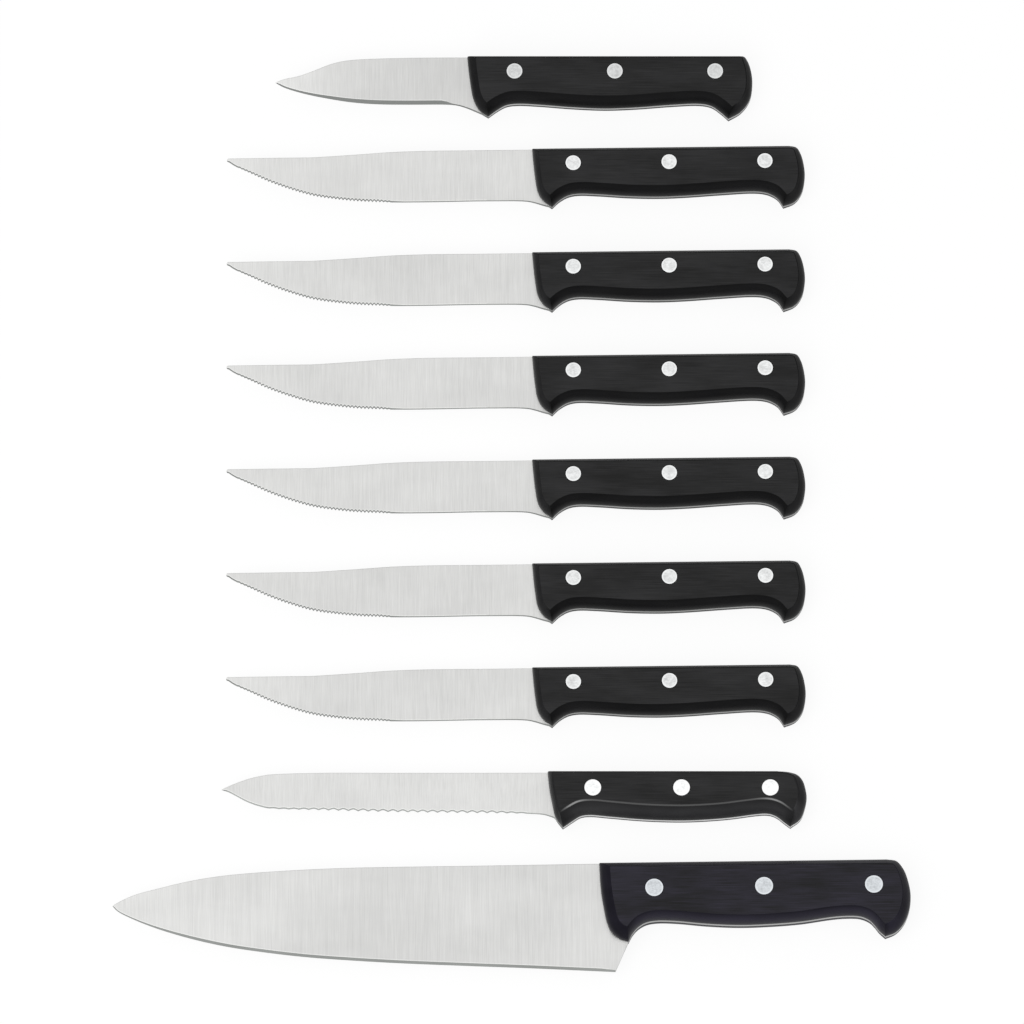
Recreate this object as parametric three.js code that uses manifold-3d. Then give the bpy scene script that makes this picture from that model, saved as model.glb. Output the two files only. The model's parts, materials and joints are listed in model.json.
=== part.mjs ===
// Nine full-tang kitchen knives lying side by side on their flanks: a paring knife, six steak
// knives, a serrated utility knife and a chef's knife.
//
// Every knife is built as it is made in a workshop: a stamped blade whose tang runs through the
// whole handle, two moulded scales that sandwich the tang, and three rivets that run through all
// three layers and end flush with the flanks of the scales.
//
// Each knife is drawn in its own frame: x = 0 at the front of the scales, tip towards -x, butt
// towards +x; y = 0 along the spine, edge towards -y; z = 0 in the middle of the blade.
// The whole set: millimetres, +Z up, origin on the table under the middle of the set.
import * as THREE from "three";
import { mergeVertices } from "three/addons/utils/BufferGeometryUtils.js";
import Module from "manifold-3d";

const wasm = await Module();
wasm.setup();

// ---------------------------------------------------------------- driving dimensions
// Shared by all knives.
const EDGE_THICKNESS = 0.16; // across the cutting edge itself
const SHOULDER_THICKNESS = 0.55; // where the flat grind ends and the sharpened bevel starts
const RIVET_CLEARANCE = 0.06; // between a rivet and its bores, all round
const RIVET_SINK = 0.06; // a rivet's ends lie this far below the flanks of the scales
// The edge of a scale rises from the tang, bends where it has come BEND_RISE of the way up, and
// leans over to the flank. The insets are the shares of its width that it has come in by then.
const BEND_RISE = 0.62;
const BUTT_INSET = 0.4;
const BELLY_INSET = 0.12;
const FRONT_INSET = 0.2;

// The row on the table, from the far side to the near side. A gap is the free table between the
// hook of one handle and the spine of the next knife.
const STEAK_KNIVES = 6;
const PARING_TO_STEAK_GAP = 13.0;
const STEAK_TO_STEAK_GAP = 18.65;
const STEAK_TO_UTILITY_GAP = 18.9;
const UTILITY_TO_CHEF_GAP = 15.9;

// One entry for each design. Curves are drawn on a unit box. Blade curves (spine, edge, choil) have
// 0 at the front of the scales and 1 at the tip, and go down to 1 at the blade's height. Handle
// curves (butt, hook, belly, horn, front) have 0 at the front of the scales and 1 at the butt, and
// go down to 1 at the hook under the little finger. The third number of a butt point says how far
// the rounding of the scale's edge has changed there from the crown's (0) to the butt's (1). Teeth
// start tipGap behind the tip and end heelGap before the scales. setBack is how far the front of
// the scales lies behind that of the chef's knife, turn how far the knife lies askew, in degrees.
const PARING = {
  setBack: 54.0,
  turn: 0,
  bladeLength: 78.7,
  bladeHeight: 19.9,
  bladeThickness: 1.8,
  tipThickness: 1.0,
  sharpenedBevel: 1.7,
  handleLength: 117.1,
  handleDepth: 26.3,
  scaleThickness: 6.5,
  crownDrop: 1.5,
  buttRounding: 2.4,
  bellyRounding: 3.7,
  frontBevel: 3.1,
  rivetHead: 6.6,
  rivetDrop: 7.5,
  firstRivet: 19.4,
  lastRivet: 15.3,
  spine: [[1, 0.53], [0.96, 0.46], [0.88, 0.39], [0.8, 0.275], [0.72, 0.145], [0.66, 0.08],
    [0.58, 0.042], [0.42, 0.015], [0.2, 0], [0, 0]],
  edge: [[1, 0.53], [0.96, 0.628], [0.877, 0.739], [0.794, 0.82], [0.71, 0.884], [0.628, 0.938],
    [0.54, 0.975], [0.44, 0.995], [0.3, 1], [0.11, 1]],
  choil: [[0.05, 1.02], [0, 1.08], [-0.045, 1.155]],
  butt: [[0.955, 0, 0], [0.972, 0.008, 0.3], [0.982, 0.06, 0.6], [0.994, 0.2, 1], [1, 0.42, 1],
    [0.99, 0.7, 1], [0.958, 0.89, 1]],
  hook: [0.915, 1],
  belly: [[0.888, 0.89], [0.856, 0.79], [0.815, 0.753], [0.72, 0.768], [0.59, 0.812],
    [0.48, 0.829], [0.36, 0.805], [0.25, 0.766], [0.175, 0.752], [0.137, 0.776], [0.106, 0.852]],
  horn: [0.074, 0.958],
  front: [[0.044, 0.867], [0.022, 0.688], [0.013, 0.494], [0.005, 0.228]],
};

const STEAK = {
  setBack: 27.4,
  turn: 0.66,
  bladeLength: 125.3,
  bladeHeight: 21.9,
  bladeThickness: 1.8,
  tipThickness: 1.0,
  sharpenedBevel: 1.0,
  handleLength: 111.8,
  handleDepth: 25.4,
  scaleThickness: 6.5,
  crownDrop: 2.2,
  buttRounding: 2.6,
  bellyRounding: 3.1,
  frontBevel: 2.3,
  rivetHead: 6.4,
  rivetDrop: 7.5,
  firstRivet: 16.8,
  lastRivet: 16.3,
  teeth: { tipGap: 5.3, heelGap: 56.6, pitch: 1.52, depth: 0.4, steps: 2 },
  spine: [[1, 0.138], [0.974, 0.109], [0.87, 0.108], [0.79, 0.112], [0.7, 0.092], [0.58, 0.055],
    [0.47, 0.016], [0.4, 0], [0.2, 0], [0, 0]],
  edge: [[1, 0.138], [0.976, 0.24], [0.923, 0.394], [0.871, 0.545], [0.793, 0.718], [0.72, 0.845],
    [0.64, 0.92], [0.56, 0.966], [0.46, 0.986], [0.34, 0.99], [0.15, 0.984], [0.05, 0.984]],
  choil: [[0.02, 0.998], [-0.007, 1.03], [-0.035, 1.08]],
  butt: [[0.944, 0, 0], [0.972, 0.03, 0.3], [0.987, 0.137, 0.6], [0.998, 0.333, 1], [1, 0.529, 1],
    [0.987, 0.784, 1], [0.96, 0.932, 1]],
  hook: [0.919, 1],
  belly: [[0.899, 0.868], [0.872, 0.79], [0.844, 0.754], [0.804, 0.741], [0.69, 0.765],
    [0.56, 0.8], [0.465, 0.812], [0.35, 0.797], [0.24, 0.76], [0.165, 0.748], [0.13, 0.778],
    [0.098, 0.859]],
  horn: [0.0716, 0.969],
  front: [[0.039, 0.863], [0.019, 0.714], [0.01, 0.49], [0.004, 0.235]],
};

const UTILITY = {
  setBack: 21.1,
  turn: 0,
  bladeLength: 133.3,
  bladeHeight: 17.2,
  bladeThickness: 2.0,
  tipThickness: 1.1,
  sharpenedBevel: 1.4,
  handleLength: 106.0,
  handleDepth: 22.9,
  scaleThickness: 6.6,
  crownDrop: 1.1,
  buttRounding: 3.2,
  bellyRounding: 4.7,
  frontBevel: 1.6,
  rivetHead: 7.0,
  rivetDrop: 7.9,
  firstRivet: 18.5,
  lastRivet: 14.9,
  teeth: { tipGap: 19.4, heelGap: 8.5, pitch: 4.06, depth: 0.75, steps: 3 },
  spine: [[1, 0.405], [0.977, 0.315], [0.938, 0.195], [0.9, 0.105], [0.854, 0.038], [0.81, 0.01],
    [0.74, 0], [0.4, 0], [0, 0]],
  edge: [[1, 0.405], [0.977, 0.475], [0.953, 0.575], [0.928, 0.682], [0.903, 0.765], [0.878, 0.825],
    [0.854, 0.865], [0.7, 0.908], [0.485, 0.953], [0.25, 0.978], [0.06, 0.996]],
  choil: [[0.01, 1.02], [-0.02, 1.093]],
  butt: [[0.885, 0, 0], [0.933, 0.012, 0.3], [0.966, 0.06, 0.6], [0.985, 0.157, 1], [0.997, 0.336, 1],
    [1, 0.48, 1], [0.992, 0.677, 1], [0.975, 0.865, 1]],
  hook: [0.936, 1],
  belly: [[0.912, 0.915], [0.888, 0.825], [0.865, 0.773], [0.84, 0.756], [0.8, 0.77],
    [0.7, 0.833], [0.57, 0.877], [0.48, 0.882], [0.36, 0.86], [0.24, 0.812], [0.16, 0.782],
    [0.127, 0.806], [0.099, 0.886]],
  horn: [0.06, 1.013],
  front: [[0.031, 0.83], [0.018, 0.581], [0.0075, 0.314]],
};

const CHEF = {
  setBack: 0,
  turn: 0.9,
  bladeLength: 199.2,
  bladeHeight: 45.6,
  bladeThickness: 2.2,
  tipThickness: 1.1,
  sharpenedBevel: 1.2,
  handleLength: 127.1,
  handleDepth: 32.6,
  scaleThickness: 7.7,
  crownDrop: 3.1,
  buttRounding: 3.2,
  bellyRounding: 2.4,
  frontBevel: 4.2,
  rivetHead: 7.5,
  rivetDrop: 12.3,
  firstRivet: 22.3,
  lastRivet: 15.0,
  spine: [[1, 0.318], [0.973, 0.248], [0.906, 0.164], [0.84, 0.099], [0.774, 0.056], [0.69, 0.028],
    [0.6, 0.01], [0.5, 0], [0.25, 0], [0, 0]],
  edge: [[1, 0.318], [0.989, 0.37], [0.956, 0.448], [0.906, 0.539], [0.84, 0.632], [0.774, 0.704],
    [0.708, 0.756], [0.609, 0.816], [0.51, 0.856], [0.411, 0.888], [0.279, 0.921], [0.147, 0.952],
    [0.05, 0.978], [-0.03, 1]],
  choil: [], // the edge ends in a square heel, a straight slant leads up to the handle
  butt: [[0.925, 0.012, 0], [0.957, 0.036, 0.3], [0.979, 0.14, 0.6], [0.993, 0.294, 1], [1, 0.466, 1],
    [0.995, 0.66, 1], [0.976, 0.84, 1], [0.949, 0.95, 1]],
  hook: [0.916, 1],
  belly: [[0.896, 0.925], [0.882, 0.852], [0.866, 0.787], [0.838, 0.737], [0.795, 0.725],
    [0.745, 0.737], [0.645, 0.79], [0.53, 0.818], [0.44, 0.822], [0.34, 0.798], [0.24, 0.756],
    [0.18, 0.75], [0.146, 0.775], [0.122, 0.833], [0.104, 0.912]],
  horn: [0.09, 1.018],
  front: [[0.063, 0.982], [0.036, 0.8865], [0.023, 0.779], [0.012, 0.5675],
    [0.004, 0.337], [0.001, 0.123]],
};

const ROW = [
  { name: "paring_knife", design: PARING, gap: 0 },
  ...Array.from({ length: STEAK_KNIVES }, (_, i) => ({
    name: `steak_knife_${i + 1}`,
    design: STEAK,
    gap: i === 0 ? PARING_TO_STEAK_GAP : STEAK_TO_STEAK_GAP,
  })),
  { name: "utility_knife", design: UTILITY, gap: STEAK_TO_UTILITY_GAP },
  { name: "chef_knife", design: CHEF, gap: UTILITY_TO_CHEF_GAP },
];

// How finely the shapes are faceted: outlines bend at the points given above.
const RIVET_SIDES = 12;
const CURVE_STEPS = 12; // from one given point to the next, where the curve itself is followed

const steel = new THREE.MeshStandardMaterial({ color: 0xd3d4d2, metalness: 1, roughness: 0.38 });
const blackPlastic = new THREE.MeshStandardMaterial({ color: 0x1d1d1f, metalness: 0, roughness: 0.5 });
const rivetMetal = new THREE.MeshStandardMaterial({ color: 0xe2e3e4, metalness: 1, roughness: 0.3 });

// ---------------------------------------------------------------- solids and meshes
function toSolid(geometry) {
  geometry.deleteAttribute("normal");
  geometry.deleteAttribute("uv");
  const merged = mergeVertices(geometry, 1e-4);
  return new wasm.Manifold(
    new wasm.Mesh({
      numProp: 3,
      vertProperties: merged.attributes.position.array,
      triVerts: new Uint32Array(merged.index.array),
    }),
  );
}

function toGeometry(solid) {
  const mesh = solid.getMesh();
  const geometry = new THREE.BufferGeometry();
  geometry.setAttribute("position", new THREE.BufferAttribute(mesh.vertProperties, 3));
  geometry.setIndex(new THREE.BufferAttribute(mesh.triVerts, 1));
  geometry.computeVertexNormals();
  return geometry;
}

// A closed body through rings of equal length, each an array of Vector3. flat() gives the two
// coordinates in which an end ring is triangulated.
function loft(rings, flat) {
  const size = rings[0].length;
  const corners = rings.flat();
  const faces = [];
  for (let r = 0; r + 1 < rings.length; r++)
    for (let i = 0; i < size; i++) {
      const a = r * size + i;
      const b = r * size + ((i + 1) % size);
      faces.push([a, b, b + size], [a, b + size, a + size]);
    }
  const last = (rings.length - 1) * size;
  for (const [a, b, c] of cap(rings[0].map(flat))) faces.push([c, b, a]);
  for (const [a, b, c] of cap(rings.at(-1).map(flat))) faces.push([a + last, b + last, c + last]);
  return facesToSolid(corners, faces);
}

// Triangles that fill a ring and turn the same way as the ring does.
function cap(ring) {
  const triangles = THREE.ShapeUtils.triangulateShape(ring, []);
  const turns = THREE.ShapeUtils.area(triangles[0].map((i) => ring[i])) * THREE.ShapeUtils.area(ring);
  return turns > 0 ? triangles : triangles.map(([a, b, c]) => [a, c, b]);
}

function facesToSolid(corners, faces) {
  const build = (order) => {
    const geometry = new THREE.BufferGeometry().setFromPoints(corners);
    geometry.setIndex(faces.flatMap(order));
    return toSolid(geometry);
  };
  const solid = build(([a, b, c]) => [a, b, c]);
  return solid.volume() > 0 ? solid : build(([a, b, c]) => [a, c, b]);
}

// ---------------------------------------------------------------- curves
const { clamp, lerp, degToRad } = THREE.MathUtils;

const vector = ([x, y, blend = 0], along, down) => new THREE.Vector3(x * along, -y * down, blend);
const onBlade = (design, rows) => rows.map((row) => vector(row, -design.bladeLength, design.bladeHeight));
const onHandle = (design, rows) => rows.map((row) => vector(row, design.handleLength, design.handleDepth));

// The curve through the points, with so many samples from each point to the next.
const smooth = (points, samples) =>
  new THREE.CatmullRomCurve3(points, false, "centripetal").getPoints(samples * (points.length - 1));

// The y of a polyline that runs from left to right, at x.
function heightAt(line, x) {
  const next = line.findIndex((p) => p.x >= x);
  if (next < 1) return line.at(next).y;
  const [a, b] = [line[next - 1], line[next]];
  return lerp(a.y, b.y, (x - a.x) / (b.x - a.x || 1));
}

// Three runs round the handle, clockwise seen from +z: crown and butt, belly, front. Their third
// coordinate is the width of the rounding there. The crown is the first, straight step.
function handleRuns(design, samples) {
  const { crownDrop, buttRounding, bellyRounding, frontBevel, hook, horn } = design;
  const run = (rows, from, to) =>
    smooth(onHandle(design, rows), samples).map((p) =>
      new THREE.Vector3(p.x, p.y, lerp(from, to, clamp(p.z, 0, 1))));
  return [
    [new THREE.Vector3(0, 0, crownDrop), ...run([...design.butt, [...hook, 1]], crownDrop, buttRounding)],
    run([hook, ...design.belly, horn], bellyRounding, bellyRounding),
    run([horn, ...design.front, [0, 0]], frontBevel, frontBevel),
  ];
}

// The handle's outline as one ring: each run without its last point, which the next run starts with.
const outlineRing = (design) => handleRuns(design, 1).flatMap((run) => run.slice(0, -1));

// For each point of that ring, how far in the scale's edge has come at its bend.
const bendInsets = (design) =>
  handleRuns(design, 1).flatMap((run, k) =>
    run.slice(0, -1).map(() => [BUTT_INSET, BELLY_INSET, FRONT_INSET][k]));

// A run moved inwards, to the right of its direction, by its own third coordinate.
function inward(run) {
  return run.map((p, i) => {
    const before = run[Math.max(i - 1, 0)];
    const after = run[Math.min(i + 1, run.length - 1)];
    const along = new THREE.Vector2(after.x - before.x, after.y - before.y).normalize();
    return new THREE.Vector2(p.x + along.y * p.z, p.y - along.x * p.z);
  });
}

// Where the end of one polyline crosses the start of the next one, as a place on each: 2.5 is
// halfway between points 2 and 3.
function crossing(one, two) {
  for (let j = 0; j + 1 < two.length; j++)
    for (let i = one.length - 2; i >= 0; i--) {
      const d = one[i + 1].clone().sub(one[i]);
      const e = two[j + 1].clone().sub(two[j]);
      const gap = two[j].clone().sub(one[i]);
      const s = gap.cross(e) / d.cross(e);
      const t = gap.cross(d) / d.cross(e);
      if (s >= 0 && s <= 1 && t >= 0 && t <= 1) return { end: i + s, start: j + t };
    }
  throw new Error("two runs of the inset outline do not meet");
}

function pointAt(line, place) {
  const i = Math.min(Math.floor(place), line.length - 2);
  return line[i].clone().lerp(line[i + 1], place - i);
}

// The edge of the scale's flat flank: the outline moved inwards with mitred corners, as a ring
// whose points pair up with those of the outline.
function flankRing(design) {
  const counts = handleRuns(design, 1).map((run) => run.length - 1);
  const moved = handleRuns(design, CURVE_STEPS).map(inward);
  const meets = moved.map((run, k) => crossing(run, moved[(k + 1) % moved.length]));
  return moved.flatMap((run, k) => {
    const start = meets.at(k - 1).start;
    const straight = k === 0 ? 1 : 0;
    const bent = counts[k] - straight;
    const places = Array.from({ length: bent }, (_, i) => lerp(straight || start, meets[k].end, i / bent));
    return [...(straight ? [start] : []), ...places].map((place) => pointAt(run, place));
  });
}

// ---------------------------------------------------------------- pieces
// One moulded scale on the +z side of the tang: its edge is rounded from the tang outwards and
// meets the flat flank at a crisp line.
function scaleSolid(design) {
  const outer = outlineRing(design);
  const inner = flankRing(design);
  const bend = bendInsets(design);
  const ring = (rise, inset) => {
    const z = design.bladeThickness / 2 + design.scaleThickness * rise;
    return outer.map((p, i) =>
      new THREE.Vector3(lerp(p.x, inner[i].x, inset(i)), lerp(p.y, inner[i].y, inset(i)), z));
  };
  const rings = [ring(0, () => 0), ring(BEND_RISE, (i) => bend[i]), ring(1, () => 1)];
  return loft(rings, (p) => new THREE.Vector2(p.x, p.y));
}

const halfHandle = (design) => design.bladeThickness / 2 + design.scaleThickness;

function rivetPlaces(design) {
  const first = design.firstRivet;
  const last = design.handleLength - design.lastRivet;
  return [first, (first + last) / 2, last].map((x) => new THREE.Vector3(x, -design.rivetDrop, 0));
}

// A rivet, flush with both flanks. With a clearance and an overrun it is its own bore.
function rivetSolid(design, clearance, overrun) {
  const radius = design.rivetHead / 2 + clearance;
  const length = 2 * (halfHandle(design) - RIVET_SINK + overrun);
  return toSolid(new THREE.CylinderGeometry(radius, radius, length, RIVET_SIDES).rotateX(Math.PI / 2));
}

// The ground part of the blade from the tip to the horn, where the choil meets the handle. It is
// ground flat from the spine down to the sharpened bevel and is left blunt along the choil.
function groundBlade(design) {
  const [horn] = onHandle(design, [design.horn]);
  const edge = onBlade(design, design.edge);
  const tip = edge[0].x;
  const heel = edge.at(-1);
  const choil = [heel, ...onBlade(design, design.choil), horn];
  const above = [...smooth(onBlade(design, design.spine), CURVE_STEPS), new THREE.Vector3(horn.x, 0, 0)];
  const below = [...smooth(edge, CURVE_STEPS), ...smooth(choil, CURVE_STEPS).slice(1)];
  const rings = [...edge, ...choil.slice(1)].map(({ x }) => {
    const middle = (heightAt(above, x) + heightAt(below, x)) / 2;
    const height = Math.max(heightAt(above, x) - heightAt(below, x), EDGE_THICKNESS);
    const bottom = middle - height / 2;
    const blunt = clamp((x - heel.x) / (horn.x - heel.x), 0, 1);
    const full = design.bladeThickness;
    const tapered = lerp(full, design.tipThickness, clamp(x / tip, 0, 1));
    const high = Math.min((2 * height) / design.bladeHeight, 1);
    const half = [
      [middle + height / 2, lerp(SHOULDER_THICKNESS, tapered, high)],
      [bottom + Math.min(design.sharpenedBevel, height / 4), lerp(SHOULDER_THICKNESS, full, blunt)],
      [bottom, lerp(EDGE_THICKNESS, full, blunt)],
    ];
    const near = half.map(([y, thickness]) => new THREE.Vector3(x, y, thickness / 2));
    const far = near.map((p) => new THREE.Vector3(x, p.y, -p.z));
    return [...near, ...far.reverse()];
  });
  return { blade: loft(rings, (p) => new THREE.Vector2(p.y, p.z)), edge: below };
}

// What the teeth are cut with: a row of round hollows along the edge, open downwards.
function teethCutter(design, edge) {
  const { tipGap, heelGap, pitch, depth, steps } = design.teeth;
  const toothed = edge.filter((p) => p.x >= tipGap - design.bladeLength && p.x <= -heelGap);
  const path = new THREE.CurvePath();
  for (let i = 0; i + 1 < toothed.length; i++) path.add(new THREE.LineCurve3(toothed[i], toothed[i + 1]));
  const count = Math.round(path.getLength() / pitch) * steps;
  const hollows = Array.from({ length: count + 1 }, (_, i) => {
    const share = (i % steps) / steps;
    const bite = 4 * share * (1 - share) * depth;
    const at = path.getPointAt(i / count);
    const along = path.getTangentAt(i / count);
    return new THREE.Vector2(at.x - along.y * bite, at.y + along.x * bite);
  });
  const below = -design.bladeHeight - depth;
  const shape = new THREE.Shape([...hollows, new THREE.Vector2(hollows.at(-1).x, below),
    new THREE.Vector2(hollows[0].x, below)]);
  return slab(shape, 2 * design.bladeThickness);
}

// A flat plate of the given shape, in the middle of z.
function slab(shape, thickness) {
  const geometry = new THREE.ExtrudeGeometry(shape, { depth: thickness, bevelEnabled: false });
  return toSolid(geometry.translate(0, 0, -thickness / 2));
}

// Blade and tang in one: the tang has the outline of the scales and lies flush with them all round.
function bladeSolid(design, bores) {
  const { blade, edge } = groundBlade(design);
  const outline = new THREE.Shape(outlineRing(design).map((p) => new THREE.Vector2(p.x, p.y)));
  let solid = blade.add(slab(outline, design.bladeThickness));
  if (design.teeth) solid = solid.subtract(teethCutter(design, edge));
  for (const bore of bores) solid = solid.subtract(bore);
  return solid;
}

// ---------------------------------------------------------------- one knife
function knife(name, design) {
  const group = new THREE.Group();
  const add = (piece, solid, material) => {
    const mesh = new THREE.Mesh(toGeometry(solid), material);
    mesh.name = `${name}_${piece}`;
    group.add(mesh);
    return mesh;
  };
  const places = rivetPlaces(design);
  const bores = places.map((p) => rivetSolid(design, RIVET_CLEARANCE, 1).translate([p.x, p.y, 0]));
  add("blade", bladeSolid(design, bores), steel);
  let scale = scaleSolid(design);
  for (const bore of bores) scale = scale.subtract(bore);
  add("front_scale", scale, blackPlastic);
  add("back_scale", scale.mirror([0, 0, 1]), blackPlastic);
  places.forEach((p, i) => {
    const rivet = add(`rivet_${i + 1}`, rivetSolid(design, 0, 0), rivetMetal);
    rivet.position.copy(p);
  });
  return group;
}

// ---------------------------------------------------------------- the set
const set = new THREE.Group();
let y = 0;
for (const { name, design, gap } of ROW) {
  y -= gap;
  const one = knife(name, design);
  one.position.set(-design.setBack, y, halfHandle(design));
  one.rotation.z = degToRad(design.turn);
  set.add(one);
  y -= design.handleDepth;
}
set.updateMatrixWorld(true);
const middle = new THREE.Box3().setFromObject(set).getCenter(new THREE.Vector3());
set.position.set(-middle.x, -middle.y, 0);

export default set;
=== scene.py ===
"""The finish of a set of nine full-tang kitchen knives that lie side by side on a table.

The frame gives every knife as plain facets. From them this script draws the smooth outlines again
and makes the ground blades with their teeth, the moulded scales, the round rivets, the surface of
each material, and a small studio round the set.
"""
import json
import math
from contextlib import contextmanager

import bmesh
import bpy
import numpy as np
from mathutils import Matrix, Vector

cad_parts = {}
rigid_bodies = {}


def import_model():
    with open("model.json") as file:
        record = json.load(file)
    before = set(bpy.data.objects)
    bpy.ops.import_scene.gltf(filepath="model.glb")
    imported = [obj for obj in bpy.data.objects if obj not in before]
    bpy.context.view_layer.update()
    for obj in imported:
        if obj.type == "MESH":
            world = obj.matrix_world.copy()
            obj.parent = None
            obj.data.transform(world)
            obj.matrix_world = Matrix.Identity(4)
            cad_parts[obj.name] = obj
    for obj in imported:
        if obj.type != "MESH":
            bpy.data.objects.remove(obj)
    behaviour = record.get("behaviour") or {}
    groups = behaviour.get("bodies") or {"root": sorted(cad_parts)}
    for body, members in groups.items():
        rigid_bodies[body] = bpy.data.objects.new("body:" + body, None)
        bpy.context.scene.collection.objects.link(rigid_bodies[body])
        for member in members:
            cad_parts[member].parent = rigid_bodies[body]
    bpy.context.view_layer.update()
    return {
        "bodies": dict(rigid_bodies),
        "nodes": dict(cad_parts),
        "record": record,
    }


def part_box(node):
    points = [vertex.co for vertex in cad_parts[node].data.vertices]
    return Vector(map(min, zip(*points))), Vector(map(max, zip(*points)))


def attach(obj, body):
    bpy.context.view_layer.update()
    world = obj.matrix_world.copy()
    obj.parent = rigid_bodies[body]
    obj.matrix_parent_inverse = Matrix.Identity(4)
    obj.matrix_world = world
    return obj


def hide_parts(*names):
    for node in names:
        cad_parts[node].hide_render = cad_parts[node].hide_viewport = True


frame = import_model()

bl_info = {
    "name": "Kitchen Knife Set Finish",
    "version": (1, 0, 0),
    "blender": (4, 5, 0),
    "location": "View3D > Sidebar > Knives",
    "description": "Ground blades, moulded scales, rivets and a studio for a set of kitchen knives",
    "category": "Object",
}

MM = 0.001
TOUCHING = 2e-6  # corners closer together than this are one
LEVEL = 0.999  # a face lies flat if its normal is at least this steep
CORNER = math.radians(60)  # an outline that turns further than this at a point has a corner there
STRAIGHT_STEP = 40 * MM  # a step of an outline longer than this is straight
SHARP = math.radians(28)  # faces that meet at more than this have a sharp edge between them


# ---------------- what the frame says
def middle(node):
    """The centre of a CAD node's box."""
    low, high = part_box(node)
    return (low + high) / 2


def welded(node, place):
    """A CAD node's mesh as seen from a place, with the corners of its loose triangles joined."""
    body = bmesh.new()
    body.from_mesh(frame["nodes"][node].data)
    bmesh.ops.remove_doubles(body, verts=body.verts, dist=TOUCHING)
    body.transform(place.inverted())
    body.normal_update()
    return body


def loops_at(body, level):
    """The closed loops, at one height, in which the walls of a body end or bend; longest first."""
    neighbours = {}
    for edge in body.edges:
        flat = all(abs(v.co.z - level) < TOUCHING for v in edge.verts)
        if flat and not all(abs(f.normal.z) > LEVEL for f in edge.link_faces):
            for one, other in (edge.verts, reversed(edge.verts)):
                neighbours.setdefault(one, []).append(other)
    loops = []
    while neighbours:
        before, here = None, next(iter(neighbours))
        loop = []
        while here in neighbours:
            loop.append(here.co.copy())
            before, here = here, next(v for v in neighbours.pop(here) if v is not before)
        loops.append(loop)
    return sorted(loops, key=lambda loop: -len(loop))


def turn_at(ring, i):
    """How far a ring turns at one of its points, clockwise seen from above."""
    before, here, after = ring[i - 1], ring[i], ring[(i + 1) % len(ring)]
    return (here - before).xy.angle_signed((after - here).xy)


def clockwise(ring):
    return ring if sum(turn_at(ring, i) for i in range(len(ring))) > 0 else ring[::-1]


def curve_through(points, samples):
    """A centripetal Catmull-Rom curve through the points, with so many samples to each step."""
    chain = [2 * points[0] - points[1], *points, 2 * points[-1] - points[-2]]
    curve = []
    for p0, p1, p2, p3 in zip(chain, chain[1:], chain[2:], chain[3:]):
        d0, d1, d2 = (max(step.length, TOUCHING) ** 0.5 for step in (p1 - p0, p2 - p1, p3 - p2))
        start = p2 - p1 + d1 * ((p1 - p0) / d0 - (p2 - p0) / (d0 + d1))
        end = p2 - p1 + d1 * ((p3 - p2) / d2 - (p3 - p1) / (d1 + d2))
        square = 3 * (p2 - p1) - 2 * start - end
        cube = 2 * (p1 - p2) + start + end
        for i in range(samples):
            t = i / samples
            curve.append(p1 + start * t + square * t**2 + cube * t**3)
    return curve + [points[-1]]


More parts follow.
